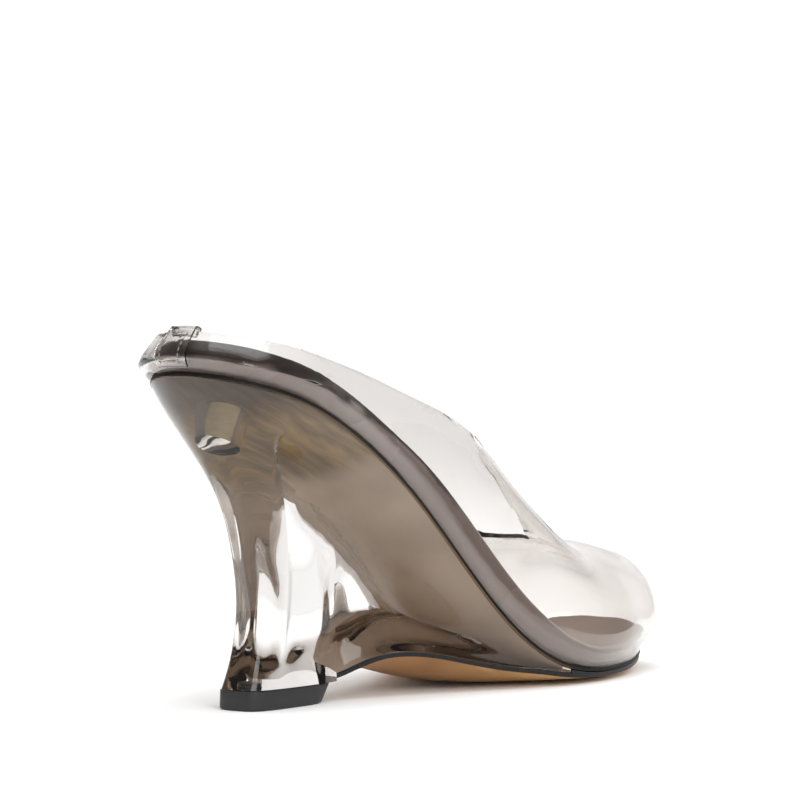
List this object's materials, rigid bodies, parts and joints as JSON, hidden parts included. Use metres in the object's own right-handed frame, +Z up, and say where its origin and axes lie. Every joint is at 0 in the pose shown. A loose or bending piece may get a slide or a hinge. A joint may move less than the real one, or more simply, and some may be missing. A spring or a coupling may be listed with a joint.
{
  "type": "heeled wedge mule",
  "caption": "Slip-on wedge mule with a clear film upper, low collar, squared throat, thick padded footbed, smoked clear moulded wedge and a slender heel on a rubber tip.",
  "frame": {"origin": "on the floor the shoe stands on, in the middle of its overall length and width", "axes": "+X to the toe, +Y to the shoe's left, which is the inner side of this right shoe, +Z up"},
  "size_m": [0.2206, 0.0798, 0.1075],
  "materials": {
    "smoked_clear": "polished clear cast plastic with a warm grey smoke tint",
    "clear_film": "glossy clear film with a slight warm grey tint",
    "gloss_grey": "glossy coated padding, grey taupe",
    "black_edge": "black painted board edge",
    "tan_leather": "smooth waxed sole leather",
    "black_rubber": "satin black rubber",
    "cream_metal": "dull plated fastener seen through the wedge"
  },
  "bodies": {
    "root": {"outsole": "tan_leather", "wedge": "smoked_clear", "heel_tip": "black_rubber", "insole_board": "black_edge", "seat_bolt": "cream_metal", "footbed": "gloss_grey", "upper": "clear_film", "back_tab": "clear_film"}
  },
  "joints": []
}
